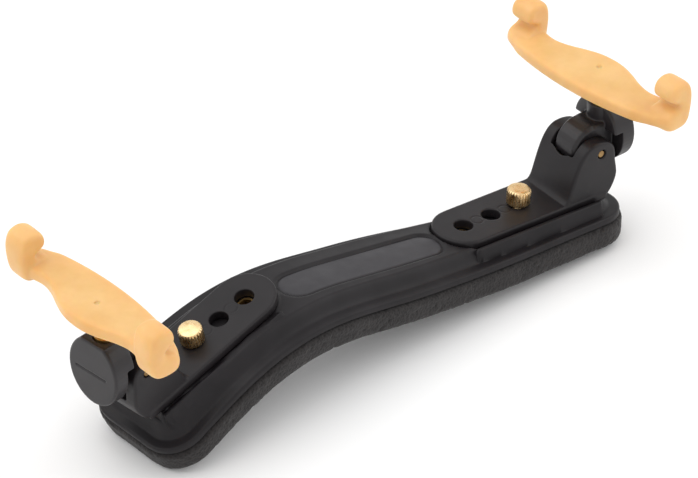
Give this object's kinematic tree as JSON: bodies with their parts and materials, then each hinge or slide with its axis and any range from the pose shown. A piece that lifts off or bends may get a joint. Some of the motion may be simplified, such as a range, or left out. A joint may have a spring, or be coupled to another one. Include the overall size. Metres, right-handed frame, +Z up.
{
  "type": "violin shoulder rest",
  "caption": "Arched black shoulder rest for a small violin, on a foam pad, with a folding fork at each end whose soft amber hooks grip the edge of the instrument.",
  "frame": {"origin": "centre of the underside of the whole object's bounding box, on the surface that the pad lies on", "axes": "+X along the rest towards the narrow end, +Y across it, +Z up towards the violin"},
  "size_m": [0.1898, 0.0627, 0.0656],
  "materials": {
    "base_plastic": "black, fine moulded texture",
    "bracket_plastic": "black, satin",
    "holder_plastic": "black, satin",
    "foam": "black open-cell foam, matt and speckled",
    "amber_rubber": "soft translucent amber, satin",
    "screw_brass": "turned and knurled",
    "insert_brass": "turned",
    "pin_brass": "drawn",
    "leg_brass": "threaded",
    "core_steel": "sheet, hidden inside the cover"
  },
  "bodies": {
    "rest": {"base_plate": "base_plastic", "foam_pad": "foam", "left_bracket": "bracket_plastic", "right_bracket": "bracket_plastic", "left_outer_insert": "insert_brass", "left_inner_insert": "insert_brass", "right_outer_insert": "insert_brass", "right_inner_insert": "insert_brass", "left_hinge_pin": "pin_brass", "right_hinge_pin": "pin_brass"},
    "left_thumbscrew_body": {"left_thumbscrew": "screw_brass"},
    "right_thumbscrew_body": {"right_thumbscrew": "screw_brass"},
    "left_holder_body": {"left_fork_holder": "holder_plastic", "left_leg_bush": "insert_brass"},
    "right_holder_body": {"right_fork_holder": "holder_plastic", "right_leg_bush": "insert_brass"},
    "left_leg_body": {"left_fork_leg": "leg_brass"},
    "right_leg_body": {"right_fork_leg": "leg_brass"},
    "left_fork_body": {"left_fork_core": "core_steel", "left_fork_cover": "amber_rubber"},
    "right_fork_body": {"right_fork_core": "core_steel", "right_fork_cover": "amber_rubber"}
  },
  "joints": [
    {"name": "left_fork_fold", "type": "hinge", "parent": "rest", "child": "left_holder_body", "pos_m": [-0.07792, 0.00058, 0.03338], "axis": [-0.0872, 0.9962, 0], "range_deg": [0, 90]},
    {"name": "right_fork_fold", "type": "hinge", "parent": "rest", "child": "right_holder_body", "pos_m": [0.08294, 0.0004, 0.02917], "axis": [-0.0436, -0.999, 0], "range_deg": [0, 90]},
    {"name": "left_leg_lift", "type": "slide", "parent": "left_holder_body", "child": "left_leg_body", "axis": [0, 0, 1], "range_m": [-0.00205, 0.00205]},
    {"name": "right_leg_lift", "type": "slide", "parent": "right_holder_body", "child": "right_leg_body", "axis": [0, 0, 1], "range_m": [-0.00205, 0.00205]},
    {"name": "left_fork_turn", "type": "hinge", "parent": "left_leg_body", "child": "left_fork_body", "pos_m": [-0.08469, -0.00001, 0.05258], "axis": [0, 0, 1], "range_deg": [-720, 720]},
    {"name": "right_fork_turn", "type": "hinge", "parent": "right_leg_body", "child": "right_fork_body", "pos_m": [0.08973, 0.0001, 0.04787], "axis": [0, 0, 1], "range_deg": [-720, 720]},
    {"name": "left_thumbscrew_turn", "type": "hinge", "parent": "rest", "child": "left_thumbscrew_body", "pos_m": [-0.0531, 0.00275, 0.02342], "axis": [-0.2326, -0.0203, 0.9724], "continuous": true},
    {"name": "right_thumbscrew_turn", "type": "hinge", "parent": "rest", "child": "right_thumbscrew_body", "pos_m": [0.06003, 0.0014, 0.01523], "axis": [0.0697, -0.003, 0.9976], "continuous": true}
  ],
  "couplings": [
    {"joint": "left_leg_lift", "follows": "left_fork_turn", "m_per_rad": 0.00015915},
    {"joint": "right_leg_lift", "follows": "right_fork_turn", "m_per_rad": 0.00015915}
  ]
}
